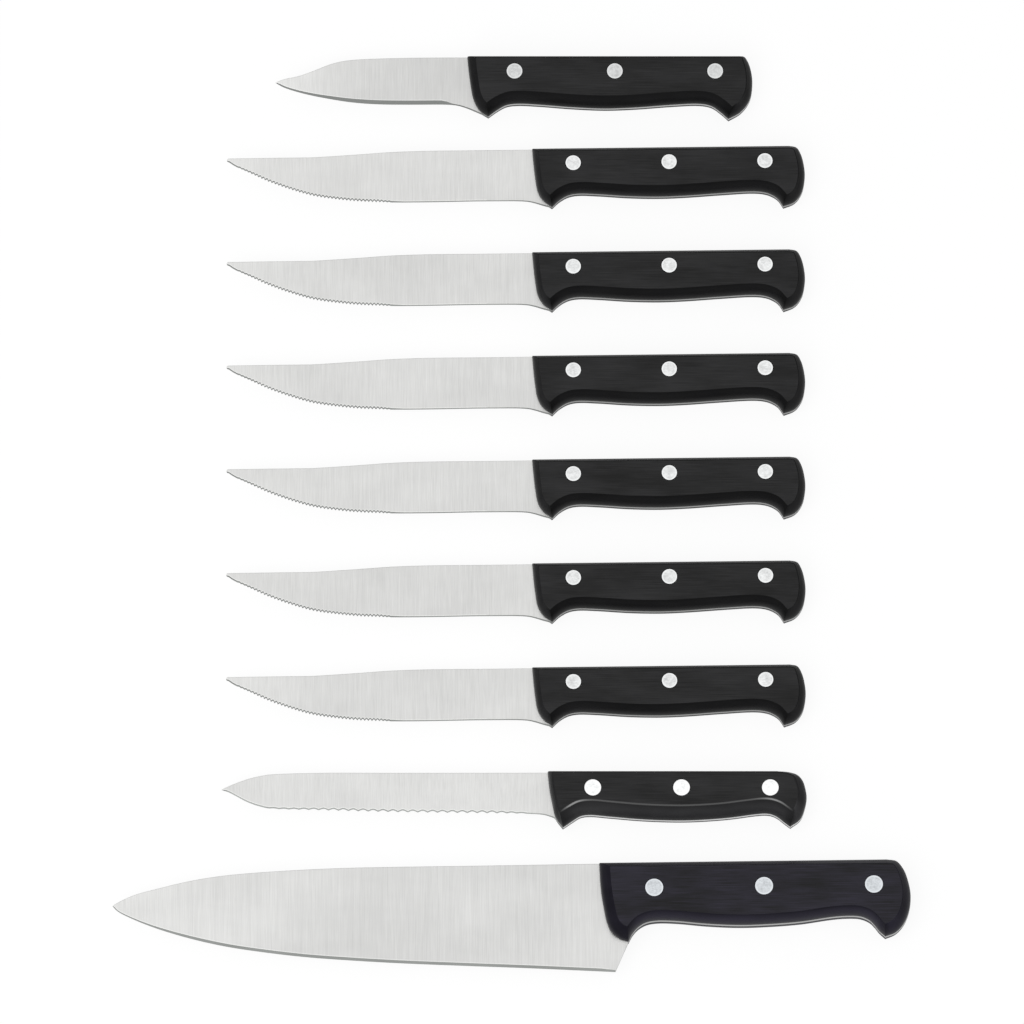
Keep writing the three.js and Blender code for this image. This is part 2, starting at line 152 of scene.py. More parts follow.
class Knife:
    """One knife of the frame, measured from its own place.

    There x runs from the front of the scales to the butt, y from the edge to the spine, and z up
    from the middle of the blade.
    """

    def __init__(self, name, samples):
        self.name = name
        self.samples = samples
        first, last = middle(f"{name}_rivet_1"), middle(f"{name}_rivet_3")
        turned = Matrix.Rotation(math.atan2(last.y - first.y, last.x - first.x), 4, "Z")
        scale = welded(f"{name}_front_scale", turned)
        levels = sorted({round(v.co.z, 5): v.co.z for v in scale.verts}.values())
        outline = clockwise(loops_at(scale, levels[0])[0])
        crown_front = max((p for i, p in enumerate(outline) if turn_at(outline, i) > CORNER),
                          key=lambda p: p.y)
        origin = Vector((crown_front.x, crown_front.y, middle(f"{name}_blade").z))
        self.place = turned @ Matrix.Translation(origin)
        self.rivets = [self.place.inverted() @ middle(f"{name}_rivet_{i}") for i in (1, 2, 3)]
        low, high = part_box(f"{name}_rivet_2")
        self.rivet_radius, self.rivet_length = (high.x - low.x) / 2, high.z - low.z
        bore = loops_at(scale, levels[0])[1]
        self.bore_radius = (bore[0] - bore[len(bore) // 2]).length / 2
        rings = [[p - origin for p in clockwise(loops_at(scale, level)[0])] for level in levels]
        scale.free()
        self.rings, breaks = refined(paired(rings), samples)
        corners = [i for i in breaks if turn_at(self.rings[0], i) > CORNER]
        self.hook, self.horn = corners[1:3]

    def tang_lines(self):
        """The upper and the lower outline of the tang, each from its front end to the butt."""
        outline = self.rings[0]
        butt = max(range(len(outline)), key=lambda i: outline[i].x)
        return outline[:butt + 1], outline[butt:self.horn + 1][::-1]

    def blade_lines(self):
        """Spine, grind line and edge of the ground blade, as lists of points on its upper side.

        A point is (x, y, half thickness). The lists run from the tip to the horn, the corner in
        which the edge side of the blade meets the handle.
        """
        horn = self.rings[0][self.horn]
        blade = welded(f"{self.name}_blade", self.place)
        columns = {}
        for vert in blade.verts:
            if vert.co.z > 0 and vert.co.x < horn.x - TOUCHING:
                columns.setdefault(round(vert.co.x / (5 * TOUCHING)), []).append(vert.co.copy())
        blade.free()
        columns = [sorted(columns[x], key=lambda p: -p.y) for x in sorted(columns)]
        free = [column for column in columns if len(column) > 2 and column[0].x < 0]
        bevel = max(column[1].y - column[2].y for column in free)
        thin = min(p.z for column in columns for p in column)
        spine, grind, edge = [], [], []
        for column in columns:
            pair = next(((a, b) for a, b in zip(column, column[1:])
                         if abs(a.y - b.y - bevel) < TOUCHING), None)
            if pair is None and column in free:  # the tip is too low for a whole bevel
                drop = min(bevel, (column[0].y - column[1].y) / 3)
                pair = column[1], Vector((column[1].x, column[1].y - drop, thin))
            if pair:
                grind.append(pair[0])
                edge.append(pair[1])
                if pair[0].x < 0:
                    spine.append(column[0])
        thick = self.rings[0][0].z
        end = Vector((horn.x, horn.y, thick))
        spine.append(Vector((0, 0, thick)))
        grind.append(end + Vector((0, bevel, 0)))
        edge.append(end)
        return [self.smooth_line(line) for line in (spine, grind, edge)]

    def smooth_line(self, line):
        """An open line made finer, with its corners kept."""
        bends = [i for i in range(1, len(line) - 1) if abs(turn_at(line, i)) > CORNER / 2]
        finer = []
        for start, end in zip([0, *bends], [*bends, len(line) - 1]):
            finer += curve_through(line[start:end + 1], self.samples)[:-1]
        return finer + [line[-1]]


def paired(rings):
    """Clockwise rings of equally many points, each turned so that point i lies near point i of all.

    The rings start at the corner of the first one that is nearest to the origin.
    """
    first = rings[0]
    count = len(first)
    start = min(range(count), key=lambda i: first[i].xy.length)
    first = first[start:] + first[:start]
    result = [first]
    for ring in rings[1:]:
        def apart(shift):
            return sum((first[i] - ring[(i + shift) % count]).length for i in range(count))
        shift = min(range(count), key=apart)
        result.append(ring[shift:] + ring[:shift])
    return result


def refined(rings, samples):
    """Paired rings made finer, and the places where the curve breaks off.

    Corners of the first ring are kept, and so are its long straight steps.
    """
    first = rings[0]
    count = len(first)
    breaks = {i for i in range(count) if turn_at(first, i) > CORNER}
    for i in range(count):
        if (first[i] - first[i - 1]).length > STRAIGHT_STEP:
            breaks |= {i, (i - 1) % count}
    breaks = sorted(breaks)
    result = [[] for _ in rings]
    for start, end in zip(breaks, [*breaks[1:], count]):
        for ring, finer in zip(rings, result):
            run = [ring[i % count] for i in range(start, end + 1)]
            finer += curve_through(run, samples)[:-1]
    return result, [i * samples for i in breaks]


# ---------------- meshes
@contextmanager
def edited(mesh):
    """Opens a mesh for a change of its faces or edges, and writes them back to it."""
    body = bmesh.new()
    body.from_mesh(mesh)
    yield body
    body.to_mesh(mesh)
    body.free()


def face_outwards(mesh):
    """Turns the faces of a closed mesh outwards."""
    with edited(mesh) as body:
        bmesh.ops.recalc_face_normals(body, faces=body.faces)


def new_mesh(name, points, faces=()):
    mesh = bpy.data.meshes.new(name)
    mesh.from_pydata([tuple(p) for p in points], [], faces)
    return mesh


def new_object(name, data):
    piece = bpy.data.objects.new(name, data)
    bpy.context.scene.collection.objects.link(piece)
    return piece


def loft(rings):
    """A closed mesh through rings of equally many points, with its first and last ring filled."""
    count = len(rings[0])
    last = (len(rings) - 1) * count
    faces = [tuple(range(count)), tuple(range(last, last + count))]
    for start in range(0, last, count):
        for i in range(count):
            a, b = start + i, start + (i + 1) % count
            faces.append((a, b, b + count, a + count))
    mesh = new_mesh("loft", [p for ring in rings for p in ring], faces)
    face_outwards(mesh)
    return mesh


def make_plain(piece):
    """Applies a piece's modifiers, so that only the plain mesh is left."""
    evaluated = piece.evaluated_get(bpy.context.evaluated_depsgraph_get())
    mesh = bpy.data.meshes.new_from_object(evaluated)
    piece.modifiers.clear()
    piece.data = mesh


def shade_smooth(mesh):
    """Shades a mesh smooth, except where faces meet at an angle or two finishes meet."""
    with edited(mesh) as body:
        for face in body.faces:
            face.smooth = True
        for edge in body.edges:
            finishes = {face.material_index for face in edge.link_faces}
            edge.smooth = len(finishes) == 1 and edge.calc_face_angle(0) < SHARP


def drill(piece, knife, sides):
    """Drills the three bores of the rivets through a piece that lies at the knife's own place."""
    cutter = bmesh.new()
    for centre in knife.rivets:
        bmesh.ops.create_cone(
            cutter, cap_ends=True, segments=sides, radius1=knife.bore_radius,
            radius2=knife.bore_radius, depth=2 * knife.rivet_length,
            matrix=Matrix.Translation(centre))
    mesh = bpy.data.meshes.new("bores")
    cutter.to_mesh(mesh)
    cutter.free()
    tool = new_object("bores", mesh)
    boolean = piece.modifiers.new("Bores", "BOOLEAN")
    boolean.operation = "DIFFERENCE"
    boolean.solver = "EXACT"
    boolean.object = tool
    make_plain(piece)
    bpy.data.objects.remove(tool)


def store(mesh, name, values, domain="POINT"):
    """Stores a number or a vector for each point or face, or one number for all points."""
    if isinstance(values, float):
        values = [values] * len(mesh.vertices)
    vectors = isinstance(values[0], Vector)
    attribute = mesh.attributes.new(name, "FLOAT_VECTOR" if vectors else "FLOAT", domain)
    attribute.data.foreach_set("vector" if vectors else "value", np.ravel(values).tolist())


def finish_piece(piece, knife, slot, *nodes):
    """Puts a finished piece in its place on the table and hands it to the frame."""
    piece.data.transform(knife.place)
    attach(piece, knife.name)
    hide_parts(*nodes)


# ---------------- node trees
class Value:
    """The output of a node. Arithmetic on it adds the Math nodes that do it."""

    def __init__(self, tree, socket):
        self.tree, self.socket = tree, socket

    def __add__(self, other):
        return self.tree.math("ADD", self, other)

    def __sub__(self, other):
        return self.tree.math("SUBTRACT", self, other)

    def __rsub__(self, other):
        return self.tree.math("SUBTRACT", other, self)

    def __mul__(self, other):
        return self.tree.math("MULTIPLY", self, other)

    def __truediv__(self, other):
        return self.tree.math("DIVIDE", self, other)

    def __gt__(self, other):
        return self.tree.math("GREATER_THAN", self, other)

    def __lt__(self, other):
        return self.tree.math("LESS_THAN", self, other)

    __radd__ = __add__
    __rmul__ = __mul__


def spaced(name):
    """The name of a socket, as Python says it with _ for each space."""
    return name.replace("_", " ")


class Tree:
    """A node tree of any kind, whose nodes are added by one method."""

    def __init__(self, tree):
        self.nodes, self.links = tree.nodes, tree.links

    def add(self, kind, settings=None, *inputs, out=None, **named):
        """Adds a node: its settings first, then the values or links of its sockets.

        The sockets are given in order or by name. Returns the first output, or the one named.
        """
        node = self.nodes.new(kind)
        for name, value in (settings or {}).items():
            setattr(node, name, value)
        sockets = {spaced(name).lower(): value for name, value in named.items()}
        enabled = [s for s in node.inputs if s.enabled]
        pairs = list(zip(enabled, inputs))
        for socket in enabled:
            if socket.name.lower() in sockets:
                pairs.append((socket, sockets.pop(socket.name.lower())))
        if sockets:
            raise ValueError(f"{kind} has no input named {sorted(sockets)}")
        for socket, value in pairs:
            if isinstance(value, Value):
                self.links.new(value.socket, socket)
            else:
                socket.default_value = value
        outputs = [s for s in node.outputs if s.enabled and out in (None, s.name)]
        return Value(self, outputs[0]) if outputs else None

    def math(self, operation, *operands):
        return self.add("ShaderNodeMath", {"operation": operation}, *operands)

    def vector(self, operation, *operands, **named):
        return self.add("ShaderNodeVectorMath", {"operation": operation}, *operands, **named)

    def smooth(self, value, *limits):
        """A value carried smoothly from one range over to another, or else to 0 and 1."""
        return self.add("ShaderNodeMapRange", {"interpolation_type": "SMOOTHSTEP"}, value, *limits)

    def mixed(self, factor, one, other):
        """From one shader to the other."""
        return self.add("ShaderNodeMixShader", None, factor, one, other)


class GeometryTree(Tree):
    """A Geometry Nodes tree with named inputs, built once and used by several modifiers."""

    def __init__(self, name, inputs):
        self.group = bpy.data.node_groups.new(name, "GeometryNodeTree")
        super().__init__(self.group)
        face = self.group.interface
        face.new_socket("Geometry", in_out="INPUT", socket_type="NodeSocketGeometry")
        for label, kind in inputs.items():
            face.new_socket(label, in_out="INPUT", socket_type=f"NodeSocket{kind}")
        face.new_socket("Geometry", in_out="OUTPUT", socket_type="NodeSocketGeometry")
        entry = self.add("NodeGroupInput").socket.node
        self.input = {s.name: Value(self, s) for s in entry.outputs if s.name}

    def end(self, geometry, *finishes):
        """Realizes the instances and lays on the finishes, each a selection and a material."""
        geometry = self.add("GeometryNodeRealizeInstances", None, geometry)
        for selection, material in finishes:
            geometry = self.add("GeometryNodeSetMaterial", None, geometry, selection, material)
        self.add("NodeGroupOutput", None, geometry)
        return self

    def modify(self, piece, **values):
        """Gives a piece a modifier with this tree and sets its inputs by their identifiers."""
        modifier = piece.modifiers.new(self.group.name, "NODES")
        modifier.node_group = self.group
        for item in self.group.interface.items_tree:
            key = item.name.lower().replace(" ", "_")
            if item.in_out == "INPUT" and key in values:
                modifier[item.identifier] = values.pop(key)
        if values:
            raise ValueError(f"{self.group.name} has no input named {sorted(values)}")


class Finish(Tree):
    """A material with a Principled shader, and the patterns and colours that finishes share."""

    def __init__(self, name, colour, **constants):
        self.material = bpy.data.materials.new(name)
        self.material.use_nodes = True
        self.material.diffuse_color = (*colour, 1)
        super().__init__(self.material.node_tree)
        self.shader = self.nodes["Principled BSDF"]
        for socket, value in constants.items():
            self.shader.inputs[spaced(socket)].default_value = value

    def streaks(self, length, width, detail=3.0, along="Y"):
        """Noise drawn out along one axis: fine parallel marks of about this length and width."""
        place = self.add("ShaderNodeTexCoord", out="Object")
        size = [length if axis == along else width for axis in "XYZ"]
        drawn = self.vector("MULTIPLY", place, tuple(1 / s for s in size))
        return self.add("ShaderNodeTexNoise", {"noise_dimensions": "3D"}, Vector=drawn, Scale=1.0,
                        Detail=detail, Roughness=0.6, out="Fac")

    def stored(self, name):
        """What is stored under a name on the piece."""
        return self.add("ShaderNodeAttribute", {"attribute_name": name}, out="Fac")

    def blended(self, factor, one, other):
        """From one colour to the other; each is a link or three numbers."""
        one, other = (c if isinstance(c, Value) else (*c, 1) for c in (one, other))
        return self.add("ShaderNodeMix", {"data_type": "RGBA"}, factor, A=one, B=other,
                        out="Result")

    def shades(self, factor, colour, dark, light):
        """From a dark to a light shade of a colour."""
        return self.blended(factor, shade(colour, dark), shade(colour, light))

    def toned(self, colour, name="tone"):
        """A colour made lighter or darker by a tone that is stored on the piece."""
        return self.vector("SCALE", colour, scale=self.stored(name) + 1)

    def violet_cast(self, colour, cast):
        """Turns a colour towards violet on the pieces that ask for it."""
        return self.blended(self.stored("violet"), colour, self.vector("MULTIPLY", colour, cast))

    def end(self, colour, roughness, marks, depth, strength):
        """Links what the shader needs, with a bump of marks so deep, and returns the material."""
        bump = self.add("ShaderNodeBump", None, Strength=strength, Distance=depth, Height=marks)
        for name, value in (("Base Color", colour), ("Roughness", roughness), ("Normal", bump)):
            self.links.new(value.socket, self.shader.inputs[name])
        return self.material


# ---------------- materials
VIOLET = (1.1, 1.0, 1.55)  # what a violet cast does to the colour of black plastic
COOL = (0.97, 1.0, 1.04)  # and to that of the metal beside it


def shade(colour, factor):
    return tuple(min(c * factor, 1.0) for c in colour)


def varied(value, *noises):
    """A value with noises added, each a pair of the noise and how far it swings the value."""
    for noise, swing in noises:
        value = value + (noise - 0.5) * swing
    return value


def belt_ground_steel(look):
    """The flats of a blade: satin steel with the marks of the grinding belt from spine to edge.

    A burnished line runs behind the bevel. The rim of the tang is plain and has its own tone.
    """
    colour, spread = look.flat_colour, look.grain_contrast
    tree = Finish("belt_ground_steel", colour, Metallic=1.0)
    coarse = tree.streaks(60 * MM, 1.1 * MM, detail=2.0)
    fine = tree.streaks(24 * MM, 0.3 * MM, detail=4.0)
    clouds = tree.streaks(24 * MM, 40 * MM)
    tone = varied(0.5, (coarse, 0.6), (fine, 1.2), (clouds, 0.8))
    line = tree.smooth(tree.stored("above_grind"), 0.0, look.burnish, 1.0, 0.0)
    base = tree.blended(line, tree.shades(tone, colour, 1 - spread, 1 + spread),
                        tree.shades(fine, colour, 1.12, 1.3))
    rim = tree.stored("rim")
    # painted reflection: the tang's rim lighter or darker for each knife
    base = tree.blended(rim, tree.toned(base), tree.toned(colour, "rim_tone"))
    rough = varied(look.flat_roughness, (coarse, 0.08), (fine, 0.16)) - line * 0.12 - rim * 0.16
    return tree.end(base, rough, fine, 0.004 * MM, 0.6)


def honed_steel(look):
    """The sharpened bevel: finer and darker than the flats, with marks along the edge."""
    tree = Finish("honed_steel", look.honed_colour, Metallic=1.0)
    marks = tree.streaks(9 * MM, 0.25 * MM, along="X")
    patches = tree.streaks(30 * MM, 14 * MM, detail=1.0, along="X")
    base = tree.shades(varied(0.5, (marks, 0.9), (patches, 0.8)), look.honed_colour, 0.82, 1.2)
    # painted shade: each knife's honed band made lighter or darker by its own tone
    return tree.end(tree.toned(base, "honed_tone"), varied(0.27, (marks, 0.16)), marks,
                    0.003 * MM, 0.5)


def sanded_plastic(look):
    """The flat flanks of the handles: black plastic, sanded lengthwise together with the rivets."""
    tree = Finish("sanded_plastic", look.plastic_colour, Specular_IOR_Level=0.26)
    lines = tree.streaks(16 * MM, 0.2 * MM, detail=4.0, along="X")
    wear = tree.streaks(30 * MM, 9 * MM, along="X")
    base = tree.shades(varied(0.5, (lines, 3.2), (wear, 2.0)), look.plastic_colour, 0.0, 2.0)
    return tree.end(tree.violet_cast(base, VIOLET),
                    varied(look.plastic_roughness, (lines, 0.22), (wear, 0.12)), lines,
                    0.012 * MM, 0.7)


def moulded_plastic(look):
    """The rounded sides of the handles, as they come out of the mould: black and even."""
    colour = shade(look.plastic_colour, 0.6)
    tree = Finish("moulded_plastic", colour, Specular_IOR_Level=0.1)
    skin = tree.streaks(1.2 * MM, 1.2 * MM)
    wear = tree.streaks(22 * MM, 6 * MM, detail=2.0, along="X")
    base = tree.shades(wear, colour, 0.6, 1.5)
    # painted light: lighter sides for each knife, a lighter middle of the belly, and lighter end
    # faces
    for tone in ("side_tone", "bulge", "end_tone"):
        base = tree.toned(base, tone)
    # painted highlight: a light line painted along the border, brightest in its two bends
    painted_highlight = tree.stored("wear")
    base = tree.blended(painted_highlight, tree.violet_cast(base, VIOLET), (0.3, 0.3, 0.3))
    rough = varied(look.plastic_roughness - 0.1, (skin, 0.08), (wear, 0.14)) - painted_highlight * 0.1
    return tree.end(base, rough, skin, 0.01 * MM, 0.4)


def sanded_rivet(look):
    """The ends of the rivets, sanded flush together with the plastic round them; a bright rim."""
    colour = look.rivet_colour
    tree = Finish("sanded_rivet", colour, Metallic=1.0)
    lines = tree.streaks(7 * MM, 0.16 * MM, detail=4.0, along="X")
    stain = tree.streaks(2.6 * MM, 2.2 * MM)
    swirls = tree.streaks(0.9 * MM, 0.6 * MM, along="X")
    rim = tree.smooth(tree.stored("from_axis"), 0.76, 0.9)
    tone = varied(0.5, (lines, 0.9), (stain, 1.5), (swirls, 1.6))
    base = tree.blended(rim, tree.shades(tone, colour, 0.74, 1.18), shade(colour, 1.16))
    base = tree.toned(tree.violet_cast(base, COOL))
    return tree.end(base, varied(0.34, (lines, 0.2)), lines, 0.004 * MM, 0.6)


# ---------------- settings
def property_of(kind, **usual):
    """A maker of properties of one kind, with the limits and the unit that they usually have."""
    def make(name, description, default, **limits):
        return kind(name=name, description=description, default=default, **{**usual, **limits})
    return make


count_property = property_of(bpy.props.IntProperty, min=2)
number_property = property_of(bpy.props.FloatProperty, min=0)
length_property = property_of(bpy.props.FloatProperty, min=0, precision=3, unit="LENGTH")
factor_property = property_of(bpy.props.FloatProperty, min=0, max=1, subtype="FACTOR")
tone_property = property_of(bpy.props.FloatProperty, min=-1, max=4, subtype="FACTOR")
colour_property = property_of(bpy.props.FloatVectorProperty, size=3, min=0, max=1, subtype="COLOR")


def slot_colour(slot):
    """The colour that the record gives for one of its material slots."""
    return next(m["base_color"][:3] for m in frame["record"]["materials"] if m["slot"] == slot)


DESIGN_PROPERTIES = {
    "border": (length_property, "Border rounding", "Of the border between flank and belly"),
    "band": (length_property, "Honed band", "Height of the honed band along the edge"),
    "taper": (length_property, "Taper", "How far behind the tip that band has its full height"),
    "nose": (length_property, "Nose", "Radius of a blunt tip"),
    "pitch": (length_property, "Tooth pitch", "From one tooth to the next"),
    "depth": (length_property, "Tooth depth", "Of a tooth's hollow; 0 leaves the edge plain"),
    "tip_gap": (length_property, "Tip gap", "Plain edge between the tip and the first tooth"),
    "heel_gap": (length_property, "Heel gap", "Plain edge between the last tooth and the scales"),
    "steel_tone": (tone_property, "Steel tone", "How much lighter than usual the blade is"),
    # painted light: the blade lighter towards its tip
    "tip_tone": (tone_property, "Tip tone", "How much lighter than the rest the tip is"),
    "tip_reach": (length_property, "Tip reach", "How far from the tip that has faded away"),
    # painted shade: the honed band's tone for each knife
    "honed_tone": (tone_property, "Honed tone", "How much lighter the honed band is"),
    # painted reflection: how much lighter each knife's tang rim is painted
    "rim_tone": (tone_property, "Rim tone", "How much lighter the rim of the tang is"),
    "rivet_tone": (tone_property, "Rivet tone", "How much lighter the rivets are"),
    # painted light: how much lighter each knife's rounded sides are painted
    "side_tone": (tone_property, "Side tone", "How much lighter the scales' rounded sides are"),
    # painted light: each knife's front end and the part behind the hook made lighter
    "front_tone": (tone_property, "Front tone", "How much lighter the scales' front ends are"),
    "hook_tone": (tone_property, "Hook tone", "How much lighter the scales are behind the hook"),
    # painted highlight: how bright the light line along the border is painted
    "wear": (tone_property, "Border wear", "How far the border is rubbed to a light line"),
    "violet": (factor_property, "Violet cast", "How far the black plastic turns to violet"),
}


def design_settings(design, **defaults):
    """The settings of one design of knife; what isn't given is 0."""
    annotations = {key: make(name, description, defaults.pop(key, 0.0))
                   for key, (make, name, description) in DESIGN_PROPERTIES.items()}
    if defaults:
        raise ValueError(f"no setting is named {sorted(defaults)}")
    return type(f"{design.capitalize()}Settings", (bpy.types.PropertyGroup,), {
        "__doc__": f"The {design} knife: its teeth, its border and its tones.",
        "__annotations__": annotations})


DESIGNS = {
    "paring": design_settings(
        "paring", border=0.1 * MM, band=1.7 * MM, taper=40 * MM, steel_tone=-0.06, tip_tone=0.17,
        tip_reach=45 * MM, honed_tone=-0.25, rim_tone=0.05, rivet_tone=-0.13, front_tone=0.8,
        hook_tone=2.4),
    "steak": design_settings(
        "steak", border=0.1 * MM, band=0.6 * MM, nose=0.8 * MM, pitch=1.52 * MM, depth=0.75 * MM,
        tip_gap=4.6 * MM, heel_gap=58.2 * MM, tip_tone=0.06, tip_reach=40 * MM, honed_tone=-0.1,
        rim_tone=-0.35, rivet_tone=0.05, front_tone=1.6, hook_tone=1.1),
    "utility": design_settings(
        "utility", border=0.55 * MM, band=0.55 * MM, pitch=4.06 * MM, depth=0.75 * MM,
        tip_gap=19.4 * MM, heel_gap=8.5 * MM, steel_tone=0.06, honed_tone=0.3, rim_tone=0.65,
        rivet_tone=0.36, side_tone=1.9, hook_tone=1.9, wear=1.7),
    "chef": design_settings(
        "chef", border=0.1 * MM, band=1.2 * MM, taper=40 * MM, tip_tone=0.1, tip_reach=110 * MM,
        rim_tone=-0.1, rivet_tone=-0.1, side_tone=0.6, hook_tone=0.7, violet=1.0),
}


class ShapeSettings(bpy.types.PropertyGroup):
    """Sizes of the finished pieces that the frame leaves open."""

    samples: count_property("Samples", "Points on a curve from one given point to the next", 6)
    profile_steps: count_property("Profile steps", "Faces across the rounded side of a scale", 10)
    arc_steps: count_property("Arc steps", "Faces across a rounded border", 5)
    tooth_steps: count_property("Tooth steps", "Faces along one tooth", 8)
    rivet_sides: count_property("Rivet sides", "Sides of a rivet and its bore", 48)
    spine_rounding: length_property("Spine rounding", "Of a blade's spine", 0.28 * MM)
    tang_rounding: length_property("Tang rounding", "Of the edges of the tang", 0.06 * MM)
    crown_rounding: length_property("Crown rounding", "Of the back edge of a scale", 0.5 * MM)
    scale_rounding: length_property("Scale rounding", "Of a scale's crisp edges", 0.07 * MM)
    rivet_rounding: length_property("Rivet rounding", "Of the edge of a rivet's end", 0.18 * MM)
    edge_width: length_property("Edge width", "Thickness of the cutting edge itself", 0.05 * MM)


class LookSettings(bpy.types.PropertyGroup):
    """Colours and finishes of the materials."""

    flat_colour: colour_property("Blade", "Steel of the blade's flats", slot_colour("blade_steel"))
    # painted shade: the dark reflection of a honed bevel is painted into this colour
    honed_colour: colour_property("Honed bevel", "Steel of the sharpened bevel", (0.3, 0.31, 0.3))
    plastic_colour: colour_property("Handle", "Black plastic of the scales", (0.0095, 0.0095, 0.01))
    rivet_colour: colour_property("Rivet", "Metal of the rivets", slot_colour("rivet_metal"))
    flat_roughness: factor_property("Blade roughness", "Of the belt-ground flats", 0.36)
    plastic_roughness: factor_property("Handle roughness", "Of the sanded flanks", 0.44)
    grain_contrast: factor_property("Grain contrast", "How strongly the grinding marks show", 0.15)
    burnish: length_property("Burnished line", "Width of the light line behind the bevel", 0.5 * MM)


class StudioSettings(bpy.types.PropertyGroup):
    """The table, the light and the camera."""

    floor_size: length_property("Floor", "Side of the square floor", 8.0)
    view_width: length_property("View width", "Width of the table that the camera sees", 0.4198)
    elevation: number_property("Elevation", "Of the camera above the table", math.radians(75),
                               subtype="ANGLE", unit="ROTATION")
    lens: number_property("Lens", "Focal length of the camera", 1600, unit="CAMERA")
    lamp_size: length_property("Lamp size", "Side of the square soft box", 1.4)
    lamp_height: length_property("Lamp height", "Of the soft box above the table", 1.5)
    lamp_power: number_property("Lamp power", "Of the soft box", 12, unit="POWER")
    room_light: number_property("Room light", "Of the even light from all round", 0.62)
    ceiling_brightness: number_property("Ceiling", "As it shows in reflections", 1.06)
    wall_brightness: number_property("Walls", "As they show in reflections", 0.35)
    table_brightness: number_property("Table", "As it shows in reflections", 0.58)


GROUPS = {"shape": ShapeSettings, **DESIGNS, "look": LookSettings, "studio": StudioSettings}


class KnifeSetSettings(bpy.types.PropertyGroup):
    """All settings of the knife set."""

    __annotations__ = {name: bpy.props.PointerProperty(type=kind) for name, kind in GROUPS.items()}

    def knives(self):
        """Each knife of the frame with the settings of its design."""
        for name in frame["bodies"]:
            yield Knife(name, self.shape.samples), getattr(self, name.split("_")[0])


# ---------------- blades
def smoothstep(t):
    t = min(max(t, 0), 1)
    return t * t * (3 - 2 * t)


def rounding(behind, radius):
    """Half the height of a round nose, so far behind its foremost point."""
    behind = min(behind, radius)
    return (behind * (2 * radius - behind)) ** 0.5


def serrating_tree():
    """Cuts the teeth along the edge of a blade and lays on the two finishes.

    Every point near the edge says how far along the edge it lies, how much of a tooth's hollow it
    follows, and which way the hollow goes.
    """
    tree = GeometryTree("Serrated edge", {
        "First tooth": "Float", "Last tooth": "Float", "Pitch": "Float", "Depth": "Float",
        "Flats": "Material", "Bevel": "Material"})
    given = tree.input

    def named(attribute, kind="FLOAT"):
        return tree.add("GeometryNodeInputNamedAttribute", {"data_type": kind}, attribute)

    along = named("along_edge")
    toothed = (along > given["First tooth"]) * (along < given["Last tooth"])
    share = tree.math("FRACT", (along - given["First tooth"]) / given["Pitch"])
    wave = 0.5 - tree.math("COSINE", share * math.tau) / 2
    hollow = (share * (1 - share) * 4 + wave) / 2
    bite = hollow * given["Depth"] * toothed * named("tooth_share")
    offset = tree.vector("SCALE", named("inward", "FLOAT_VECTOR"), scale=bite)
    cut = tree.add("GeometryNodeSetPosition", None, given["Geometry"], offset=offset)
    honed = named("honed") > 0.5
    return tree.end(cut, (True, given["Flats"]), (honed, given["Bevel"]))


SPINE_TURNS = [math.radians(turn) for turn in (0, 30, 60, 90)]  # round one edge of a spine
SUPPORT = 0.2 * MM  # a row of points so close to that rounding keeps the flat beside it flat
GRIND = len(SPINE_TURNS) + 1  # of a half section's points this one lies on the grind line
TIP_HEIGHT = 0.06 * MM  # no section of a blade is lower than this
NOSE_STOPS = 6  # cross-sections along a blunt nose
TIP_BAND = 0.4  # share of the honed band's height that a tapering band has at the tip
PLAIN_BAND = 0.65  # share of it behind the teeth
BLUNT_BAND = 0.3 * MM  # height of the blunt facet that follows it at the handle
HEEL_FADE = 6 * MM  # length over which the band changes from one to the next
HEEL_START = 2 * MM  # how far before the heel the blunt facet begins
SLOPE_REACH = 0.3 * MM  # how far each way an edge is looked at for its slope
SHALLOW_TEETH = 0.3  # share of their depth that the first and the last tooth have
TEETH_GROWING, TEETH_FADING = 8, 4  # the number of teeth between them and the deep ones
UPRIGHT = 0.7  # a face of the tang is part of its rim if its normal is less steep than this


